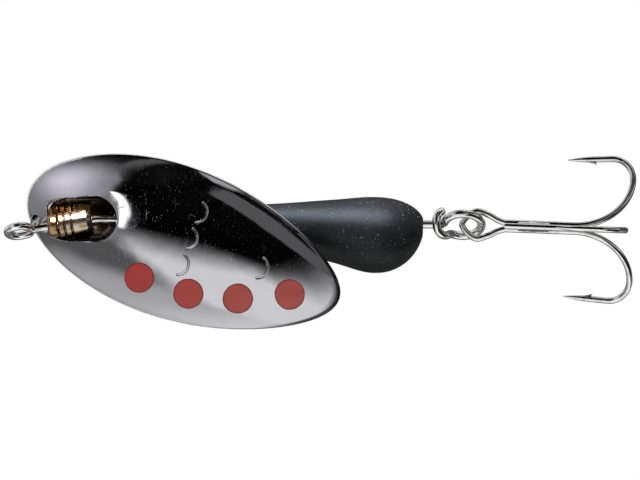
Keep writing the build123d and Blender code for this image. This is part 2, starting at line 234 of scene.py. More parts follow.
def eased(corners, radius, steps=4):
    """Closed outline with each corner rounded by up to radius."""
    corners = [np.array(c, float) for c in corners]
    outline = []
    for i, corner in enumerate(corners):
        before, after = corners[i - 1] - corner, corners[(i + 1) % len(corners)] - corner
        reach = min(radius, norm(before) * 0.45, norm(after) * 0.45)
        start, end = corner + unit(before) * reach, corner + unit(after) * reach
        for k in range(steps + 1):
            t = k / steps
            outline.append((1 - t) ** 2 * start + 2 * t * (1 - t) * corner + t**2 * end)
    return outline


# ---- path helpers
def line(start, end, spacing=0.4):
    count = max(2, int(norm(end - start) / spacing))
    return [start + (end - start) * t for t in np.linspace(0, 1, count)]


def arc_from(start, heading, end, count=24):
    """Points of the circular arc that leaves start along heading and ends at end, and its end heading."""
    chord = end - start
    heading = unit(heading)
    across = chord - heading * np.dot(chord, heading)
    if norm(across) < 1e-9:
        return line(start, end), heading
    inward = unit(across)
    radius = np.dot(chord, chord) / (2 * np.dot(chord, inward))
    centre = start + inward * radius
    sweep = atan2(np.dot(end - centre, heading), -np.dot(end - centre, inward)) % (2 * pi)
    points = []
    for t in np.linspace(0, sweep, count):
        points.append(centre - inward * (radius * cos(t)) + heading * (radius * sin(t)))
    return points, heading * cos(sweep) + inward * sin(sweep)


def cubic(t, ends, slopes):
    """Place at t, from 0 to 1, on the cubic curve between two ends with these slopes."""
    first = (2 * t**3 - 3 * t**2 + 1) * ends[0] + (t**3 - 2 * t**2 + t) * slopes[0]
    return first + (3 * t**2 - 2 * t**3) * ends[1] + (t**3 - t**2) * slopes[1]


def bezier(a, b, c, d, count=14):
    points = []
    for t in np.linspace(0, 1, count):
        s = 1 - t
        points.append(s**3 * a + 3 * s**2 * t * b + 3 * s * t**2 * c + t**3 * d)
    return points


def in_xz(angle):
    return np.array((cos(angle), 0.0, sin(angle)))


def wire_loop(neck_way, up, centre, size, wrap):
    """Points of a loop at the end of the shaft, from its neck to its cut end, as the CAD part has it."""
    radius, neck_radius, tilt, ring_end = size
    near = np.array((0.0, -1.0, 0.0))
    lift = up * cos(radians(tilt)) + near * sin(radians(tilt))
    reach = sqrt(radius**2 + 2 * radius * neck_radius)
    neck = centre + neck_way * reach
    touch = centre + (neck_way * reach + lift * neck_radius) * (radius / (radius + neck_radius))
    points, heading = arc_from(neck, -neck_way, touch, 12)
    turn = radians(ring_end)
    stop = centre + neck_way * (radius * cos(turn)) + lift * (radius * sin(turn))
    more, heading = arc_from(touch, heading, stop, 72)
    points += more
    wrap_start, wrap_heading, wrap_end = (neck_way * a + up * b + near * c for a, b, c in wrap)
    wrap_start, wrap_end = centre + wrap_start, centre + wrap_end
    wrap_heading = unit(wrap_heading)
    handle = 0.4 * norm(wrap_start - stop)
    points += bezier(stop, stop + heading * handle, wrap_start - wrap_heading * handle, wrap_start)
    more, _ = arc_from(wrap_start, wrap_heading, wrap_end, 30)
    return points + more


# ---- node helpers
class Tree:
    """Short ways to add and join shader nodes."""

    def __init__(self, tree):
        self.tree = tree
        tree.nodes.clear()

    def add(self, kind, out=0, settings=None, **inputs):
        made = self.tree.nodes.new("ShaderNode" + kind)
        for name, value in (settings or {}).items():
            setattr(made, name, value)
        for name, value in inputs.items():
            key = int(name[1:]) if name[0] == "i" and name[1:].isdigit() else name.replace("_", " ")
            self.plug(made.inputs[key], value)
        return made.outputs[out] if made.outputs else made

    def plug(self, socket, value):
        """Joins an output to a socket, or sets its value; colours have three numbers."""
        if isinstance(value, bpy.types.NodeSocket):
            self.tree.links.new(value, socket)
        else:
            socket.default_value = (*value, 1.0) if socket.type == "RGBA" else value

    def math(self, operation, *values):
        inputs = {f"i{i}": value for i, value in enumerate(values)}
        return self.add("Math", settings={"operation": operation}, **inputs)

    def plus(self, a, b):
        return self.math("ADD", a, b)

    def minus(self, a, b):
        return self.math("SUBTRACT", a, b)

    def times(self, first, *others):
        for other in others:
            first = self.math("MULTIPLY", first, other)
        return first

    def scaled(self, value, scale, start):
        """value times scale, plus start."""
        return self.math("MULTIPLY_ADD", value, scale, start)

    def squared(self, value):
        return self.math("POWER", value, 2.0)

    def distance(self, where, point):
        return self.add("VectorMath", out=1, settings={"operation": "DISTANCE"}, i0=where, i1=point)

    def parts(self, where):
        """X, Y and Z of a vector."""
        return self.add("SeparateXYZ", Vector=where).node.outputs

    def fade(self, value, start, end, low=0.0, high=1.0):
        """low before start, high after end, and a smooth step between them."""
        return self.add(
            "MapRange", settings={"interpolation_type": "SMOOTHSTEP"},
            Value=value, From_Min=start, From_Max=end, To_Min=low, To_Max=high,
        )

    def mix(self, share, a, b):
        """Colour mix."""
        return self.add("Mix", out=2, settings={"data_type": "RGBA"}, i0=share, i6=a, i7=b)

    def noise(self, where, scale, detail=3.0, roughness=0.55):
        return self.add("TexNoise", Vector=where, Scale=scale, Detail=detail, Roughness=roughness)

    def measure(self, where, origin, way):
        """Distance from origin along way."""
        moved = self.add("VectorMath", settings={"operation": "SUBTRACT"}, i0=where, i1=tuple(origin))
        return self.add("VectorMath", out=1, settings={"operation": "DOT_PRODUCT"}, i0=moved, i1=tuple(way))

    def stretched(self, where, scale):
        return self.add("Mapping", Vector=where, Scale=scale)

    def bump(self, height, distance, strength=1.0, normal=None):
        made = self.add("Bump", Height=height, Distance=distance, Strength=strength)
        if normal is not None:
            self.plug(made.node.inputs["Normal"], normal)
        return made


def finish_of(name):
    """A new material's tree, and the object-space position of the point being shaded, in millimetres."""
    material = bpy.data.materials.new(name)
    material.use_nodes = True
    tree = Tree(material.node_tree)
    tree.material = material
    place = tree.add("TexCoord", out=3)
    where = tree.add("VectorMath", settings={"operation": "SCALE"}, i0=place)
    where.node.inputs["Scale"].default_value = 1 / MM
    return tree, where


def surface(tree, **inputs):
    tree.add("OutputMaterial", Surface=tree.add("BsdfPrincipled", **inputs))
    return tree.material


def grey(value):
    return (value, value, value)


# ---- materials
def scratches(tree, where, turn, scale, width):
    """Fine straight scratches: 1 on a scratch, 0 elsewhere, broken up along their length."""
    stretch = (scale, scale, scale * 0.06)
    turned_place = tree.add("Mapping", Vector=where, Rotation=(0.0, turn, 0.0), Scale=stretch)
    lines = tree.add("TexVoronoi", settings={"feature": "DISTANCE_TO_EDGE"}, Vector=turned_place, Scale=1.0)
    thin_line_and_edge_shade = tree.fade(lines, 0.0, width, 1.0, 0.0)
    breaks = tree.fade(tree.noise(where, 0.9, 2.0), 0.52, 0.64)
    return tree.times(thin_line_and_edge_shade, breaks)


def rim_wear_and_dark_reflection(tree, where):
    """Two masks: the rim where it is rubbed bright, and a painted dark reflection along its border at the
    hook end.
    """
    centre = (BLADE_CENTRE[0], 0.0, BLADE_CENTRE[1])
    u = tree.measure(where, centre, in_xz(BLADE_TURN))
    v = tree.measure(where, centre, in_xz(BLADE_TURN + pi / 2))
    share = tree.math("DIVIDE", u, BLADE_HALF_LENGTH)
    width = tree.scaled(share, tree.scaled(share, BLADE_FULLNESS, BLADE_TAPER), 1.0)
    across = tree.math("DIVIDE", tree.math("DIVIDE", v, BLADE_HALF_WIDTH), width)
    ring = tree.plus(tree.squared(share), tree.squared(across))
    patches = tree.fade(tree.noise(where, 0.7, 3.0), 0.30, 0.50, 0.6, 1.0)
    rubbed = tree.times(patches, tree.fade(u, 2.0, 12.0, 1.0, 0.0), tree.fade(ring, 0.974, 0.986))
    return rubbed, tree.times(tree.fade(ring, 0.925, 0.955), tree.fade(u, 8.0, 13.5))


def pocket_reflection_and_shade(tree, where):
    """Two masks: painted reflection of the bearing in the pocket, and painted shade along its bottom and at
    its far end.
    """
    along = tree.measure(where, BEND, in_xz(BLADE_SPIN_ANGLE))
    across = tree.measure(where, BEND, in_xz(BLADE_SPIN_ANGLE + pi / 2))
    _, y, _ = tree.parts(where)
    lip = tree.scaled(along, -0.53, -1.64)    # Y of the pocket's rim
    _, facing, _ = tree.parts(tree.add("TexCoord", out=1))
    bearing_reflection = tree.times(
        tree.fade(tree.minus(y, lip), 0.1, 1.2),
        tree.fade(tree.math("ABSOLUTE", across), 2.0, 2.5, 1.0, 0.0),
        tree.fade(along, 1.6, 2.2, 1.0, 0.0), tree.fade(facing, -0.08, 0.0, 1.0, 0.0),
    )
    pocket_shade = tree.math("MAXIMUM", tree.fade(along, -1.2, 0.6), tree.fade(across, 0.6, -0.4))
    return bearing_reflection, tree.times(bearing_reflection, pocket_shade)


def dark_nickel():
    """Polished dark nickel plate: a mirror with hairline scratches, faint smears and pin pricks."""
    tree, where = finish_of("dark_nickel")
    smear = tree.noise(tree.stretched(where, (0.5, 0.5, 1.1)), 0.55, 5.0, 0.6)
    haze = tree.fade(smear, 0.35, 0.75)
    marks = scratches(tree, where, 0.5, 0.9, 0.010)
    marks = tree.plus(marks, scratches(tree, where, -0.9, 0.6, 0.006))
    marks = tree.times(tree.math("MINIMUM", marks, 1.0), 0.45)
    dust = 0.0
    for scale, size, share in ((1.2, 0.06, 0.46), (2.6, 0.11, 0.52), (5.0, 0.15, 0.56)):
        cells = tree.add("TexVoronoi", Vector=where, Scale=scale)
        grains = tree.fade(cells, size * 0.5, size, 1.0, 0.0)
        gate = tree.fade(tree.noise(where, 0.8 * scale, 2.0), share, share + 0.04)
        dust = tree.math("MAXIMUM", dust, tree.times(grains, gate))
    wear = tree.math("MAXIMUM", marks, dust)
    colour = tree.mix(haze, (0.56, 0.56, 0.585), (0.52, 0.52, 0.55))
    colour = tree.mix(tree.times(wear, 0.5), colour, (0.90, 0.90, 0.92))
    bearing_reflection, pocket_shade = pocket_reflection_and_shade(tree, where)
    # painted reflection: pale beige where the pocket's wall mirrors the bearing
    colour = tree.mix(bearing_reflection, colour, (0.86, 0.77, 0.66))
    # painted shade: near-black along the pocket's bottom and at its far end
    colour = tree.mix(tree.times(pocket_shade, 0.92), colour, (0.07, 0.06, 0.05))
    rim, stain_and_dark_reflection = rim_wear_and_dark_reflection(tree, where)
    # painted reflection: a near-black band along the rim at the hook end, where the steep edge mirrors dark
    colour = tree.mix(stain_and_dark_reflection, colour, (0.05, 0.05, 0.055))
    colour = tree.mix(rim, colour, (0.80, 0.80, 0.82))
    metallic = tree.scaled(rim, -0.55, 1.0)
    rough = tree.fade(smear, 0.3, 0.8, 0.035, 0.085)
    rough = tree.scaled(rim, 0.22, rough)
    rough = tree.scaled(wear, 0.45, rough)
    rough = tree.scaled(pocket_shade, 0.15, rough)
    ripple = tree.noise(where, 0.28, 2.0, 0.5)
    grain = tree.noise(where, 9.0, 3.0, 0.6)
    height = tree.plus(tree.times(grain, 0.12), tree.times(wear, -0.5))
    normal = tree.bump(height, 0.004 * MM, 0.5, tree.bump(ripple, 0.05 * MM, 0.5))
    return surface(tree, Base_Color=colour, Metallic=metallic, Roughness=rough, Normal=normal)


def red_enamel():
    """Brushed-on enamel, satin, a little uneven in colour, with painted shade darkening it just inside its
    edge.
    """
    tree, where = finish_of("red_enamel")
    x, _, z = tree.parts(where)
    flat = tree.add("CombineXYZ", X=x, Z=z)
    out_from_centre = 99.0
    for centre_x, centre_z in DOT_CENTRES:
        away = tree.distance(flat, (centre_x, 0.0, centre_z))
        out_from_centre = tree.math("MINIMUM", away, out_from_centre)
    blotch = tree.noise(where, 0.5, 4.0, 0.6)
    colour = tree.mix(tree.fade(x, 10.0, 24.0), (0.315, 0.028, 0.024), (0.305, 0.056, 0.043))
    colour = tree.mix(tree.fade(blotch, 0.45, 0.75, 0.0, 0.5), colour, (0.225, 0.036, 0.028))
    rubbed = tree.fade(tree.noise(where, 3.2, 4.0, 0.7), 0.66, 0.74)
    colour = tree.mix(tree.times(rubbed, 0.25), colour, (0.40, 0.14, 0.11))
    # painted shade: a dark outline just inside each dot's edge
    thin_line_and_edge_shade = tree.fade(out_from_centre, DOT_RADIUS - 0.20, DOT_RADIUS - 0.02, 0.0, 0.8)
    colour = tree.mix(thin_line_and_edge_shade, colour, (0.10, 0.012, 0.012))
    rough = tree.fade(blotch, 0.3, 0.7, 0.42, 0.58)
    pebble = tree.noise(where, 5.0, 4.0, 0.6)
    normal = tree.bump(pebble, 0.010 * MM, 0.6)
    return surface(tree, Base_Color=colour, Roughness=rough, Specular_IOR_Level=0.22, Normal=normal)


def black_paint():
    """Satin black paint over cast metal: soft orange peel, rubbed patches and dust specks."""
    tree, where = finish_of("black_paint")
    patch = tree.noise(where, 0.32, 5.0, 0.62)
    specks = tree.fade(tree.noise(where, 4.5, 3.0, 0.7), 0.62, 0.70)
    specks = tree.times(specks, tree.fade(patch, 0.40, 0.56))
    colour = tree.mix(tree.fade(patch, 0.35, 0.7), (0.002, 0.0026, 0.0034), (0.004, 0.0052, 0.006))
    colour = tree.mix(tree.times(specks, 0.6), colour, (0.20, 0.22, 0.24))
    rough = tree.fade(patch, 0.3, 0.75, 0.40, 0.50)
    rough = tree.scaled(specks, 0.12, rough)
    peel = tree.noise(where, 2.6, 4.0, 0.55)
    pocks = tree.fade(tree.noise(where, 6.0, 2.0, 0.5), 0.60, 0.70)
    height = tree.minus(peel, tree.times(pocks, 0.7))
    normal = tree.bump(height, 0.012 * MM, 0.7)
    return surface(tree, Base_Color=colour, Roughness=rough, Specular_IOR_Level=0.27, Normal=normal)


def bright_metal(name, light, dark, rough_low, rough_high):
    """Plated or drawn wire: fine lines along it, faint stains and small nicks."""
    tree, where = finish_of(name)
    lines = tree.noise(tree.stretched(where, (0.5, 6.0, 6.0)), 1.6, 3.0, 0.6)
    stain = tree.noise(where, 0.8, 4.0, 0.6)
    nicks = tree.fade(tree.noise(where, 5.0, 2.0, 0.6), 0.66, 0.72)
    colour = tree.mix(tree.fade(stain, 0.45, 0.75), light, dark)
    colour = tree.mix(tree.times(nicks, 0.5), colour, dark)
    rough = tree.fade(lines, 0.3, 0.7, rough_low, rough_high)
    rough = tree.scaled(nicks, 0.2, rough)
    height = tree.minus(lines, tree.times(nicks, 0.8))
    normal = tree.bump(height, 0.006 * MM, 0.35)
    return surface(tree, Base_Color=colour, Metallic=1.0, Roughness=rough, Normal=normal)


def turned_brass(name, clean, stain_and_dark_reflection, tarnish, dark_rings, worn_ends):
    """Lathe-turned brass: rings left by the tool, tarnish blotches, darker in its grooves and at its ends."""
    tree, where = finish_of(name)
    along = tree.measure(where, (0.0, 0.0, 0.0), in_xz(FRONT_ANGLE))
    rings = tree.noise(tree.add("CombineXYZ", X=along), 14.0, 2.0, 0.5)
    blotch = tree.noise(where, 1.1, 5.0, 0.65)
    colour = tree.mix(tree.fade(blotch, 0.42, 0.68), clean, stain_and_dark_reflection)
    front_end, rear_end = worn_ends
    ends = tree.plus(tree.fade(along, front_end - 0.15, front_end + 0.15, 1.0, 0.0),
                     tree.fade(along, rear_end - 0.15, rear_end + 0.15))
    colour = tree.mix(tree.times(ends, 0.8), colour, stain_and_dark_reflection)
    spots = tree.fade(tree.noise(where, 3.4, 4.0, 0.7), 0.56, 0.70)
    colour = tree.mix(tree.times(spots, 0.7), colour, tarnish)
    for place in dark_rings:
        away = tree.math("ABSOLUTE", tree.minus(along, place))
        colour = tree.mix(tree.fade(away, 0.05, 0.22, 0.8, 0.0), colour, tarnish)
    rough = tree.fade(blotch, 0.3, 0.8, 0.13, 0.30)
    height = tree.scaled(spots, -0.6, rings)
    normal = tree.bump(height, 0.012 * MM, 0.6)
    return surface(tree, Base_Color=colour, Metallic=1.0, Roughness=rough, Normal=normal)


def braze_metal():
    """Solder under plating: lumpy and duller than the wires."""
    tree, where = finish_of("braze")
    lumps = tree.noise(where, 2.2, 4.0, 0.6)
    colour = tree.mix(tree.fade(lumps, 0.4, 0.7), (0.70, 0.69, 0.67), (0.44, 0.42, 0.40))
    rough = tree.fade(lumps, 0.3, 0.7, 0.10, 0.22)
    normal = tree.bump(lumps, 0.012 * MM, 0.6)
    return surface(tree, Base_Color=colour, Metallic=1.0, Roughness=rough, Normal=normal)


# ---- blade
def blade_uv(x, z):
    dx, dz = x - BLADE_CENTRE[0], z - BLADE_CENTRE[1]
    c, s = cos_sin(BLADE_TURN)
    return dx * c + dz * s, dz * c - dx * s


def half_width(u):
    share = u / BLADE_HALF_LENGTH
    return BLADE_HALF_WIDTH * (1 + BLADE_TAPER * share + BLADE_FULLNESS * share**2)


def sheet_y(x, z):
    """Where the domed face lies, as Y."""
    u, v = blade_uv(x, z)
    ring = (u / BLADE_HALF_LENGTH) ** 2 + (v / half_width(u)) ** 2
    dome = DOME_HEIGHT * (1 - (1 - DOME_SHOULDER) * ring - DOME_SHOULDER * ring**2)
    return -((x - RIM_CROSSING_X) * RIM_SLOPE + dome)


def sheet_slopes(x, z, step=0.01):
    """How fast the face's Y changes along X and along Z."""
    slope_x = (sheet_y(x + step, z) - sheet_y(x - step, z)) / (2 * step)
    return slope_x, (sheet_y(x, z + step) - sheet_y(x, z - step)) / (2 * step)


def sheet_steepness(x, z):
    """How much further apart two parallel faces are along Y than square to the sheet."""
    slope_x, slope_z = sheet_slopes(x, z)
    return np.sqrt(1 + slope_x**2 + slope_z**2)


def pocket_y(x, z, grow):
    """Y of the pocket's wall, whose inside has grow 0 and whose outside has grow = thickness."""
    c, s = cos_sin(BLADE_SPIN_ANGLE)
    along = (x - BEND[0]) * c + (z - BEND[2]) * s
    across = (z - BEND[2]) * c - (x - BEND[0]) * s
    run = POCKET_REAR - POCKET_FRONT
    share = (along - POCKET_FRONT[0]) / run[0]
    across = across - (POCKET_FRONT[1] + run[1] * share)
    centre = -(POCKET_FRONT[2] + run[2] * share)
    radius = POCKET_RADIUS + grow
    away = np.where(share > 1, np.hypot(along - POCKET_REAR[0], across), np.abs(across))
    trough = np.sqrt(np.maximum(radius**2 - away**2, 0))
    wall = centre + np.where(away < radius, trough, -(away - radius) / POCKET_DRAFT)
    return np.minimum(wall, (along - POCKET_FRONT[0] + POCKET_FRONT_ROOM + grow) / POCKET_DRAFT)


def soft_max(a, b, width):
    """The larger of two heights, with a rounded change from one to the other."""
    near = np.maximum(width - np.abs(a - b), 0) / width
    return np.maximum(a, b) + near**2 * width / 4


def sheet_and_pocket_y(x, z, back):
    """Y of the plain sheet and of the pocket's wall, on the blade's domed face or on its back."""
    thickness = BLADE_THICKNESS if back else 0.0
    return sheet_y(x, z) + thickness * sheet_steepness(x, z), pocket_y(x, z, thickness)


def face_y(x, z, back):
    return soft_max(*sheet_and_pocket_y(x, z, back), POCKET_BACK_LIP if back else POCKET_LIP)


def rim_points(count):
    """Rim outline, spaced evenly, with the inward direction at each point."""
    turns = np.linspace(0, 2 * pi, 4001)
    u = BLADE_HALF_LENGTH * np.cos(turns)
    v = half_width(u) * np.sin(turns)
    c, s = cos_sin(BLADE_TURN)
    outline = np.stack((BLADE_CENTRE[0] + u * c - v * s, BLADE_CENTRE[1] + u * s + v * c), axis=1)
    run = np.r_[0, np.cumsum(norm(np.diff(outline, axis=0), axis=1))]
    wanted = np.linspace(0, run[-1], count, endpoint=False)
    rim = np.stack([np.interp(wanted, run, outline[:, i]) for i in (0, 1)], axis=1)
    ahead = np.roll(rim, -1, axis=0) - np.roll(rim, 1, axis=0)
    ahead /= norm(ahead, axis=1)[:, None]
    return rim, np.stack((-ahead[:, 1], ahead[:, 0]), axis=1)


def ray_shares(centre, edge, back, pocket_rings, sheet_rings):
    """For each ray from centre to the edge, the shares of its length at which rings cross it.

    The pocket's rings are spaced evenly along the pressed surface, and the sheet's rings get closer
    together towards the pocket.
    """
    dense = np.linspace(0, 1, 1600)
    x = centre[0] + (edge[:, 0:1] - centre[0]) * dense
    z = centre[1] + (edge[:, 1:2] - centre[1]) * dense
    length = norm(edge - centre, axis=1)[:, None]
    y = face_y(x, z, back)
    sheet, pocket = sheet_and_pocket_y(x, z, back)
    inside = pocket > sheet
    shares = []
    for i in range(len(edge)):
        rim_index = len(dense) - 1 - np.argmax(inside[i][::-1])
        crease = min(rim_index + int(LIP_BAND / length[i, 0] * len(dense)), len(dense) - 200)
        near = dense[:crease + 1]
        steps = np.hypot(np.diff(near) * length[i, 0], np.diff(y[i, :crease + 1]))
        run = np.r_[0, np.cumsum(steps)]
        inner = np.interp(np.linspace(0, run[-1], pocket_rings + 1)[1:], run, near)
        outer = inner[-1] + (1 - inner[-1]) * np.linspace(0, 1, sheet_rings + 1)[1:] ** 1.25
        shares.append(np.r_[inner, outer])
    return np.array(shares)


def face_rings(centre, edge, back, pocket_rings, sheet_rings):
    """Rings of vertices over one face of the blade, from the pocket's middle out to the edge."""
    rings = []
    for share in ray_shares(centre, edge, back, pocket_rings, sheet_rings).T:
        p = centre + (edge - centre) * share[:, None]
        rings.append(list(zip(p[:, 0], face_y(p[:, 0], p[:, 1], back), p[:, 1])))
    return rings


def make_blade(material):
    around, edge_radius = 440, BLADE_THICKNESS / 2
    rim, inward = rim_points(around)
    edge = rim + inward * edge_radius
    centre = np.array(POCKET_MIDDLE)
    front = face_y(edge[:, 0], edge[:, 1], False)
    rear = face_y(edge[:, 0], edge[:, 1], True)
    rings = face_rings(centre, edge, back=False, pocket_rings=58, sheet_rings=84)
    for turn in np.linspace(-80, 80, 9):
        c, s = cos_sin(radians(turn))
        p = rim + inward * (edge_radius * (1 - c))
        rings.append(list(zip(p[:, 0], (front + rear) / 2 + (rear - front) / 2 * s, p[:, 1])))
    rings += reversed(face_rings(centre, edge, back=True, pocket_rings=29, sheet_rings=48))
    middles = [(centre[0], float(face_y(*centre, back)), centre[1]) for back in (False, True)]
    verts = [middles[0], *(v for ring in rings for v in ring), middles[1]]
    blade = piece("spinner_blade", (verts, fan_faces(len(rings), around)), material, "spinner_blade", "blade")
    hole_length = 5.0    # more than enough to go through the pocket's rear wall
    along = in_xz(BLADE_SPIN_ANGLE)
    start = BEND + along * POCKET_REAR[0]
    bars = [tube([start, start + along * hole_length], HOLE_RADIUS, 64, 0.001)]
    bars += [rib_cutter(rib) for rib in RIB_CENTRES]
    cut_away(blade, joined(bars))


def cut_away(blade, shape):
    """Cuts a closed shape out of the blade: the shaft's hole and the pressed arcs."""
    cutter = solid("cutter", *shape)
    cut = blade.modifiers.new("cut", "BOOLEAN")
    cut.operation = "DIFFERENCE"
    cut.solver = "EXACT"
    cut.object = cutter
    bpy.context.view_layer.update()
    shown = blade.evaluated_get(bpy.context.evaluated_depsgraph_get())
    blade.data = bpy.data.meshes.new_from_object(shown)
    blade.modifiers.clear()
    bpy.data.objects.remove(cutter)
    blade.data.set_sharp_from_angle(angle=radians(28))


def blade_face(x, z, lift):
    """Point on the domed face, moved out square to it by lift."""
    slope_x, slope_z = sheet_slopes(x, z)
    normal = unit(np.array((slope_x, -1.0, slope_z)))
    return np.array((x, float(sheet_y(x, z)), z)) + normal * lift


def make_dot(index, centre, material):
    """One enamel dot: a thin skin with a soft, slightly uneven edge."""
    rng = np.random.default_rng(11 + index)
    around, thickness, sunk = 96, 0.05, 0.06
    turns = once_round(around)
    wobble = np.ones(around)
    for waves in (2, 3, 5, 9, 14):
        wobble += rng.uniform(0.002, 0.016) / sqrt(waves) * np.cos(waves * turns + rng.uniform(0, 6.28))
    rows = [(share, thickness) for share in np.linspace(0.12, 0.94, 9)]
    rows += [(share, thickness * left) for share, left in ((0.965, 0.93), (0.985, 0.7), (0.997, 0.3))]
    rows += [(1.0, 0.0), (1.0, -sunk)]
    verts = [blade_face(*centre, thickness)]
    for share, lift in rows:
        for t, w in zip(turns, wobble):
            r = DOT_RADIUS * w * share
            verts.append(blade_face(centre[0] + r * cos(t), centre[1] + r * sin(t), lift))
    verts.append(blade_face(*centre, -sunk))
    shape = (verts, fan_faces(len(rows), around))
    piece(f"enamel_dot_{index + 1}", shape, material, "spinner_blade", "enamel_dots")


def rib_cutter(centre):
    """Curved round bar that presses one arc into the domed face."""
    half = radians(RIB_SWEEP / 2)
    points = []
    for a in np.linspace(-half, half, 60):
        turn = BLADE_TURN + a
        x, z = centre[0] + RIB_RADIUS * cos(turn), centre[1] + RIB_RADIUS * sin(turn)
        points.append(blade_face(x, z, RIB_BAR_LIFT))
    return tube(points, RIB_BAR_RADIUS, 20, RIB_BAR_RADIUS * 0.5)


# ---- shaft and what turns on it
def make_shaft(material):
    front, rear = in_xz(FRONT_ANGLE), np.array((1.0, 0.0, 0.0))
    reach = BEND_RADIUS * tan(FRONT_ANGLE / 2)
    before, after = BEND - front * reach, BEND + rear * reach
    eye = wire_loop(front, in_xz(FRONT_ANGLE + pi / 2), np.zeros(3), EYE_LOOP, EYE_WRAP)
    loop_centre = TREBLE_PIVOT - rear * REAR_LOOP[0]
    loop = wire_loop(-rear, np.array((0.0, 0.0, 1.0)), loop_centre, REAR_LOOP, REAR_LOOP_WRAP)
    bend, _ = arc_from(before, front, after, 10)
    points = list(reversed(eye)) + line(eye[0], before) + bend + line(after, loop[0]) + loop
    piece("shaft_wire_form", tube(points, WIRE_RADIUS, 40, 0.04), material, "shaft", "shaft_wire")


def make_bead(material):
    """A short bead, well rounded in front."""
    corners = [(BEAD_START, BORE_RADIUS)]
    for back, inward in ((0.0, 0.30), (0.16, 0.08), (0.46, 0.0)):
        corners.append((BEAD_START + back, BEAD_RADIUS - inward))
    for ahead, inward in ((0.10, 0.0), (0.0, 0.10)):
        corners.append((BEAD_END - ahead, BEAD_RADIUS - inward))
    corners.append((BEAD_END, BORE_RADIUS))
    piece("front_bead_turned", turned(eased(corners, 0.07)), material, "bead", "front_bead")


def make_bearing(material):
    """A sleeve with two grooves near its front end and a rounded-off rear end."""
    corners = [(BEARING_START, BORE_RADIUS), (BEARING_START, BEARING_RADIUS - 0.1)]
    corners.append((BEARING_START + 0.1, BEARING_RADIUS))
    for groove in BEARING_GROOVES:
        for share, depth in ((-0.5, 0.0), (-0.25, GROOVE_DEPTH), (0.25, GROOVE_DEPTH), (0.5, 0.0)):
            corners.append((BEARING_START + groove + share * GROOVE_WIDTH, BEARING_RADIUS - depth))
    for ahead, inward in ((0.49, 0.0), (0.175, 0.12), (0.0, 0.385)):
        corners.append((BEARING_END - ahead, BEARING_RADIUS - inward))
    corners.append((BEARING_END, BORE_RADIUS))
    piece("bearing_turned", turned(eased(corners, 0.05, 3)), material, "bearing", "bearing_sleeve")


def smooth_curve(known_x, known_y, x):
    """Cubic curve through known points, with no bumps between them."""
    slope = np.gradient(known_y, known_x)
    i = np.clip(np.searchsorted(known_x, x) - 1, 0, len(known_x) - 2)
    width = known_x[i + 1] - known_x[i]
    return cubic((x - known_x[i]) / width, known_y[i:i + 2], slope[i:i + 2] * width)


def make_body(material):
    """The weighted body: a slim neck round the shaft that swells out below it, and a round rear end."""
    around = 96
    wide_x, wide_above, wide_below = BODY_STATIONS[-1]
    cap = BODY_REAR_X - wide_x
    onto_cap = 1.2    # one more station, a little way onto the cap, lets the curve run into it
    x_known = np.r_[BODY_STATIONS[:, 0], wide_x + onto_cap]
    shrink = sqrt(1 - (onto_cap / cap) ** 2)
    above_known = np.r_[BODY_STATIONS[:, 1], wide_above * shrink]
    below_known = np.r_[BODY_STATIONS[:, 2], wide_below * shrink]
    rows = []
    for x in np.linspace(BODY_STATIONS[0, 0], wide_x, 64):
        rows.append((x, smooth_curve(x_known, above_known, x), smooth_curve(x_known, below_known, x)))
    for turn in np.linspace(0, asin(BODY_CAP_SHARE), 26)[1:]:
        rows.append((wide_x + cap * sin(turn), wide_above * cos(turn), wide_below * cos(turn)))
    first, last = rows[0], rows[-1]
    edge = 0.08
    rows.insert(0, (first[0] - edge * 0.7, first[1] - edge * 0.3, first[2] - edge * 0.3))
    rows.insert(0, (first[0] - edge, first[1] - edge, first[2] - edge))
    rows.append((last[0] + 0.02, last[1] * 0.8, last[2] * 0.8))
    rows.append((last[0] + 0.02, BORE_RADIUS, BORE_RADIUS))
    rows.insert(0, (first[0] - edge, BORE_RADIUS, BORE_RADIUS))
    verts = []
    for x, above, below in rows:
        centre, radius = BEND[2] + (above - below) / 2, (above + below) / 2
        for t in once_round(around):
            verts.append((x, -radius * cos(t), centre + radius * sin(t)))
    shape = (verts, ring_faces(len(rows), around, closed=True))
    piece("weighted_body", shape, material, "weight", "body_weight")


# ---- treble hook
def treble_frame():
    """Origin and axes of the treble: along its shank, up, and towards -Y."""
    along = np.array((
        cos(TREBLE_LEAN) * cos(TREBLE_DROOP),
        -sin(TREBLE_LEAN) * cos(TREBLE_DROOP),
        -sin(TREBLE_DROOP),
    ))
    near = np.array((-sin(TREBLE_LEAN), -cos(TREBLE_LEAN), 0.0))
    near = unit(near - along * np.dot(near, along))
    up = np.cross(near, along)
    return TREBLE_PIVOT, along, up, near


def placed(shape):
    """A shape moved from the treble's own frame to the part's."""
    origin, along, up, near = treble_frame()
    return [origin + along * x + up * y + near * z for x, y, z in shape[0]], shape[1]


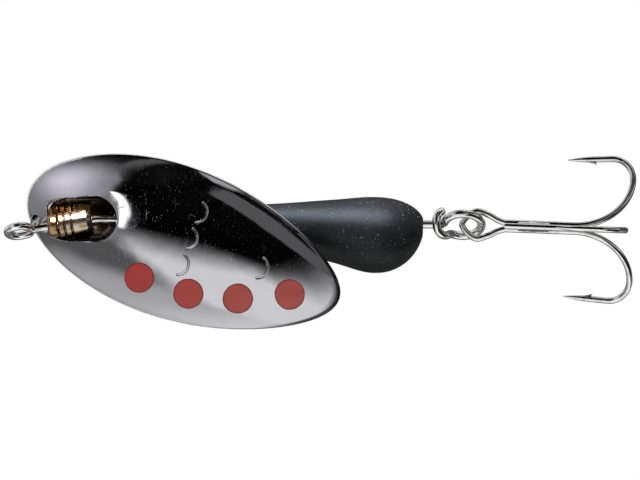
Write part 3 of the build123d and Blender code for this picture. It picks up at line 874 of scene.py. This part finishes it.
def hook_shape(base_y, base_z, turn):
    """Vertices and faces of one hook with its shank, point and barb, in the treble's own frame."""
    points = [(x, 0.0) for x in np.linspace(SHANK_START, HOOK_BEND_START, 20)]
    for a in np.linspace(-90, 0, 40)[1:]:
        c, s = cos_sin(radians(a))
        points.append((HOOK_BEND_START + (HOOK_REACH - HOOK_BEND_START) * c, HOOK_WIDE_RISE * (1 + s)))
    for a in np.linspace(0, HOOK_CORNER_SWEEP, 32)[1:]:
        c, s = cos_sin(radians(a))
        points.append((HOOK_REACH - HOOK_CORNER_LENGTH * (1 - c), HOOK_WIDE_RISE + HOOK_CORNER_HEIGHT * s))
    end, heading = np.array(points[-1]), unit(np.array(points[-1]) - np.array(points[-2]))
    radii = [HOOK_WIRE_RADIUS] * len(points)
    leg_length = (end[0] - POINT_START) / -heading[0]
    for t in np.linspace(0, 1, 6)[1:]:
        points.append(tuple(end + heading * leg_length * t))
        radii.append(HOOK_WIRE_RADIUS)
    leg_end = end + heading * leg_length
    for t in np.linspace(0, 1, 26)[1:]:
        points.append(tuple(leg_end + heading * (POINT_START - POINT_END) * t))
        radii.append(POINT_TIP_RADIUS + (HOOK_WIRE_RADIUS - POINT_TIP_RADIUS) * (1 - t**1.6))
    wire = tube([(x, y, 0.0) for x, y in points], radii, 28, 0.02)
    verts, faces = joined((wire, barb_shape(leg_end)))
    c, s = cos_sin(radians(turn))
    turned_verts = [(v[0], base_y + v[1] * c - v[2] * s, base_z + v[1] * s + v[2] * c) for v in verts]
    return turned_verts, faces


def barb_shape(leg_end):
    """Spur cut up from the inside of the point, thin at its tip, which looks back at the bend."""
    profile = ((-1.0, -0.12), (-0.45, -0.27), (0.1, -0.42), (0.47, -0.56), (0.33, -0.40), (0.26, -0.1))
    widths = (0.04, 0.11, 0.09, 0.025, 0.08, 0.12)
    verts = []
    for side in (-1, 1):
        verts += [(leg_end[0] + x, leg_end[1] + y, side * w) for (x, y), w in zip(profile, widths)]
    count = len(profile)
    faces = [tuple(range(count)), tuple(range(2 * count - 1, count - 1, -1))]
    faces += [(j, j + count, (j + 1) % count + count, (j + 1) % count) for j in range(count)]
    return verts, faces


def eye_shape():
    """The double hook's eye, bent from the same wire, narrowing back into its two shanks."""
    flank = [(SHANK_START, SHANK_HALF_GAP), *TREBLE_EYE_FLANK, (TREBLE_EYE_CENTRE, TREBLE_EYE_RADIUS)]
    knots = flank + [(-TREBLE_EYE_REACH, 0.0)] + [(x, -y) for x, y in reversed(flank)]
    knots = np.array([(SHANK_START + 0.7, SHANK_HALF_GAP)] + knots + [(SHANK_START + 0.7, -SHANK_HALF_GAP)])
    run = np.r_[0, np.cumsum(norm(np.diff(knots, axis=0), axis=1) ** 0.5)]
    slopes = np.gradient(knots, run, axis=0)
    points = []
    for i in range(len(knots) - 1):
        width = run[i + 1] - run[i]
        for t in np.linspace(0, 1, 14, endpoint=False):
            points.append((*cubic(t, knots[i:i + 2], slopes[i:i + 2] * width), 0.0))
    return tube(points, HOOK_WIRE_RADIUS, 28, 0.01)


def make_treble(wire, braze):
    upper = hook_shape(SHANK_HALF_GAP, 0.0, -30)
    lower = hook_shape(-SHANK_HALF_GAP, 0.0, 210)
    for name, shape, node in (
        ("double_hook_eye", eye_shape(), "treble_double_hook"),
        ("double_hook_upper", upper, "treble_double_hook"),
        ("double_hook_lower", lower, "treble_double_hook"),
        ("single_hook", hook_shape(0.0, SINGLE_HOOK_RISE, 90), "treble_single_hook"),
    ):
        piece(name, placed(shape), wire, "treble", node)
    make_braze(braze)


def make_braze(material):
    """Solder that fills the valleys between the three shanks, with a wavy, hand-fed surface."""
    rng = np.random.default_rng(5)
    along_steps, around = 60, 30
    centres = np.array(((SHANK_HALF_GAP, 0.0), (0.0, SINGLE_HOOK_RISE), (-SHANK_HALF_GAP, 0.0)))
    middle = centres.mean(axis=0)
    phases = rng.uniform(0, 2 * pi, 6)
    local = []
    for i, x in enumerate(np.linspace(BRAZE_START, BRAZE_END, along_steps)):
        ends = min(1.0, 4.0 * min(i, along_steps - 1 - i) / along_steps + 0.3)
        for j in range(around):
            a = 2 * pi * j / around
            way = np.array((cos(a), sin(a)))
            reach = max(float(np.dot(c - middle, way)) for c in centres) + 0.20
            wave = 0.012 * sin(3.1 * x + phases[0] + 2 * a)
            wave += 0.008 * sin(7.3 * x + phases[1] - 3 * a)
            p = middle + way * (reach + wave) * ends
            local.append((x, p[0], p[1]))
    shape = placed((local, tube_faces(along_steps, around)))
    piece("braze_fillet", shape, material, "treble", "treble_braze")


# ---- studio
def card(tree, colour, sideways, height, sides, levels, soft, shade):
    """Lays a soft-edged card over the colours so far; sides and levels are in degrees."""
    left = tree.fade(sideways, sides[0] - soft, sides[0] + soft)
    right = tree.fade(sideways, sides[1] - soft, sides[1] + soft, 1.0, 0.0)
    low = tree.fade(height, levels[0] - soft, levels[0] + soft)
    high = tree.fade(height, levels[1] - soft, levels[1] + soft, 1.0, 0.0)
    return tree.mix(tree.times(left, right, low, high), colour, shade)


def over_line(tree, value, line, soft_below, soft_above):
    """0 where value is below a slanted line, 1 above it."""
    return tree.fade(tree.minus(value, line), -soft_below, soft_above)


def table_in_view(tree, sideways, height, sideways_soft, height_soft):
    """The pale table and the black drape above it."""
    # its far edge climbs and softens towards the right of the camera
    climb = tree.math("MAXIMUM", tree.plus(sideways, 14.0), 0.0)
    far_edge = tree.scaled(climb, 1.1, 4.5)
    softness = tree.math("MAXIMUM", tree.plus(sideways, 20.0), 0.0)
    softness = tree.math("MINIMUM", tree.scaled(softness, 2.4, 17.0), 76.0)
    depth = tree.math("DIVIDE", tree.minus(far_edge, height_soft), softness)
    colour = tree.mix(tree.fade(depth, 0.0, 1.0), grey(0.0005), grey(1.06))
    # left of the camera it lies in shade and brightens towards the lure
    shade = tree.fade(height, -18.0, -42.0, 0.13, 0.62)
    shade = tree.plus(shade, tree.fade(height, -42.0, -76.0, 0.0, 0.36))
    return tree.mix(tree.fade(sideways_soft, -50.0, -40.0, 1.0, 0.0), colour, shade)


def right_of_view(tree, colour, sideways, height, height_soft):
    """A grey wall over the drape, with a slanting lower edge and a rounded top, and dark beyond it."""
    lower_edge = tree.scaled(sideways, -0.9, 46.5)
    above = over_line(tree, height_soft, lower_edge, 2.5, 2.5)
    arch = tree.squared(tree.plus(sideways, -15.0))
    upper_edge = tree.scaled(arch, -1 / 45, 71.5)
    below = over_line(tree, upper_edge, height_soft, 1.5, 1.5)
    wall = tree.times(above, below, tree.fade(sideways, 34.0, 40.0, 1.0, 0.0))
    colour = tree.mix(wall, colour, grey(0.14))
    slant = tree.scaled(height, 0.3, 20.0)
    beyond = tree.times(
        over_line(tree, sideways, slant, 2.0, 3.0),
        tree.fade(height, -55.0, -45.0), tree.fade(height, 8.0, 22.0, 1.0, 0.0),
    )
    colour = tree.mix(beyond, colour, grey(0.02))
    colour = card(tree, colour, sideways, height, (39, 90), (25, 88), 2.0, grey(0.006))
    return card(tree, colour, sideways, height, (56, 82), (57, 84), 3.0, grey(0.42))


def left_of_view(tree, colour, sideways, height):
    """A lilac-grey wall that darkens upwards, with a soft box in it."""
    left_wall = tree.mix(tree.fade(height, 36.0, 64.0), (0.30, 0.30, 0.33), grey(0.002))
    rise = tree.math("MAXIMUM", tree.minus(height, 40.0), 0.0)
    wall_end = tree.scaled(rise, -0.45, -43.0)
    left = tree.times(over_line(tree, wall_end, sideways, 1.5, 2.5), tree.fade(height, -12.0, -6.0))
    colour = tree.mix(left, colour, left_wall)
    across = tree.squared(tree.math("DIVIDE", tree.plus(sideways, 60.5), 10.5))
    upward = tree.squared(tree.math("DIVIDE", tree.minus(height, 28.0), 17.5))
    glow = tree.math("EXPONENT", tree.times(tree.plus(across, upward), -1.0))
    return tree.mix(tree.times(glow, left), colour, (1.12, 1.08, 1.16))


def reflected_studio(tree):
    """What polished metal sees: pale table below, black drapes behind the camera, soft boxes.

    Directions are in degrees as the lure sees them: sideways from the camera, and height over it.
    """
    ray = tree.add("TexCoord")
    x, y, z = tree.parts(ray)
    sideways = tree.math("DEGREES", tree.math("ARCTAN2", x, tree.times(y, -1.0)))
    height = tree.math("DEGREES", tree.math("ARCSINE", z))
    wave = tree.times(tree.minus(tree.noise(ray, 2.2, 3.0), 0.5), 5.0)
    sideways_soft = tree.plus(sideways, wave)
    height_soft = tree.plus(height, wave)
    colour = table_in_view(tree, sideways, height, sideways_soft, height_soft)
    colour = right_of_view(tree, colour, sideways, height, height_soft)
    colour = left_of_view(tree, colour, sideways, height)
    colour = card(tree, colour, sideways_soft, height_soft, (-72, -47), (-28, -8), 7.0, grey(0.14))
    # a narrow bowed strip light at the drape's edge
    bow = tree.squared(tree.minus(height, 13.0))
    bowed = tree.scaled(bow, 0.018, sideways)
    colour = card(tree, colour, bowed, height, (-41.3, -38.9), (1, 25), 0.7, grey(2.6))
    # over the top and behind: the white backdrop above, its dimmer foot below, dark at the right
    colour = card(tree, colour, sideways, height, (12, 60), (76, 91), 2.0, grey(0.55))
    backdrop = tree.mix(tree.fade(z, -0.25, 0.15), grey(0.22), grey(0.95))
    backdrop = tree.mix(tree.fade(y, 0.50, 0.80), backdrop, grey(0.10))
    backdrop = tree.mix(tree.fade(x, 0.25, 0.65), backdrop, tree.fade(z, -0.6, 0.0, 0.34, 0.07))
    return tree.mix(tree.fade(y, 0.02, 0.16), colour, backdrop)


def make_world():
    """White to the camera, soft light mostly from above, and a fuller studio for reflections."""
    world = bpy.data.worlds.new("studio")
    scene.world = world
    world.use_nodes = True
    tree = Tree(world.node_tree)
    _, _, upward = tree.parts(tree.add("TexCoord"))
    reflected = tree.add("Background", Color=reflected_studio(tree), Strength=1.0)
    soft = tree.add("Background", Color=grey(1.0), Strength=tree.fade(upward, -0.1, 0.8, 0.10, 1.5))
    white = tree.add("Background", Color=grey(1.0), Strength=1.0)
    path = tree.add("LightPath").node
    shown = tree.add("MixShader", i0=path.outputs["Is Glossy Ray"], i1=soft, i2=reflected)
    shown = tree.add("MixShader", i0=path.outputs["Is Camera Ray"], i1=shown, i2=white)
    tree.add("OutputWorld", Surface=shown)


def make_floor():
    """Pale round floor that melts into the white background."""
    radius, level, corners = 420.0, -40.0, 128
    middle = (29.0, 0.0, level)
    verts = [(middle[0] + radius * cos(t), radius * sin(t), level) for t in once_round(corners)]
    mesh = bpy.data.meshes.new("floor")
    mesh.from_pydata([tuple(np.array(v) * MM) for v in verts], [], [tuple(range(corners))])
    floor = bpy.data.objects.new("floor", mesh)
    scene.collection.objects.link(floor)
    tree, where = finish_of("pale_floor")
    away = tree.distance(where, middle)
    cloud = tree.noise(where, 0.02, 3.0)
    paint = tree.add("BsdfDiffuse", Color=tree.mix(cloud, grey(0.93), grey(0.96)))
    light = tree.add("Emission", Color=grey(1.0), Strength=1.0)
    melted = tree.add("MixShader", i0=tree.fade(away, radius * 0.25, radius * 0.8), i1=paint, i2=light)
    tree.add("OutputMaterial", Surface=melted)
    mesh.materials.append(tree.material)
    floor.visible_glossy = False


def area_light(name, place, aim_x, watts, size, receivers=()):
    """An area light that looks at a point on the X axis. Where receivers are named, only they get it.

    Its place is in millimetres, and its two sizes are in metres.
    """
    data = bpy.data.lights.new(name, "AREA")
    data.energy = watts
    data.shape = "RECTANGLE"
    data.size, data.size_y = size
    lamp = bpy.data.objects.new(name, data)
    lamp.location = Vector(place) * MM
    lamp.rotation_euler = (Vector((aim_x * MM, 0, 0)) - lamp.location).to_track_quat("-Z", "Y").to_euler()
    if receivers:
        only = bpy.data.collections.new(name + "_receivers")
        for receiver in receivers:
            only.objects.link(bpy.data.objects[receiver])
        lamp.light_linking.receiver_collection = only
    scene.collection.objects.link(lamp)
    return lamp


def make_lights():
    """A soft box over the floor, one that only the painted body gets, and one for the brass."""
    key = area_light("key", (0, -100, 450), aim_x=30, watts=0.5, size=(0.35, 0.35))
    key.data.shape = "DISK"
    key.visible_glossy = False
    sheen = area_light("body_sheen", (-30, -120, 250), 30, 2.6, (0.34, 0.20), receivers=["weighted_body"])
    sheen.data.color = (0.78, 0.88, 1.0)
    area_light("brass_glint", (-30, -100, 230), 6, 2.2, (0.16, 0.20), ["bearing_turned", "front_bead_turned"])


def make_camera():
    """Level with the lure, square to its side, from far enough away for a near-parallel view."""
    distance, shown_width, sensor_width, roll = 600.0, 61.54, 36.0, radians(0.834)
    data = bpy.data.cameras.new("camera")
    data.sensor_width = sensor_width
    data.lens = sensor_width * distance / shown_width
    data.clip_end = 10.0
    camera = bpy.data.objects.new("camera", data)
    right = Vector((cos(roll), 0, sin(roll)))
    up = Vector((-sin(roll), 0, cos(roll)))
    back = Vector((0, -1, 0))
    place = Vector((28.95, -distance, -0.44)) * MM
    turn = Matrix((right, up, back)).transposed().to_4x4()
    camera.matrix_world = Matrix.Translation(place) @ turn
    scene.collection.objects.link(camera)
    scene.camera = camera


# ---- the whole scene
scene.view_settings.view_transform = "Standard"
make_blade(dark_nickel())
enamel = red_enamel()
for number, place in enumerate(DOT_CENTRES):
    make_dot(number, place, enamel)
make_shaft(bright_metal("bright_wire", (0.84, 0.835, 0.825), (0.50, 0.49, 0.48), 0.04, 0.09))
make_bead(turned_brass("copper_tone_brass", (0.40, 0.24, 0.12), (0.26, 0.13, 0.06),
                       (0.12, 0.05, 0.02), dark_rings=(3.80,), worn_ends=(BEAD_START, BEAD_END)))
bearing_rings = [BEARING_START + groove for groove in (0.0, *BEARING_GROOVES)]
make_bearing(turned_brass("brass", (0.50, 0.46, 0.40), (0.42, 0.25, 0.12),
                          (0.14, 0.07, 0.03), dark_rings=bearing_rings, worn_ends=(4.4, 6.85)))
make_body(black_paint())
hook_nickel = bright_metal("hook_nickel", (0.80, 0.795, 0.79), (0.44, 0.43, 0.42), 0.03, 0.08)
make_treble(hook_nickel, braze_metal())
make_world()
make_floor()
make_lights()
make_camera()
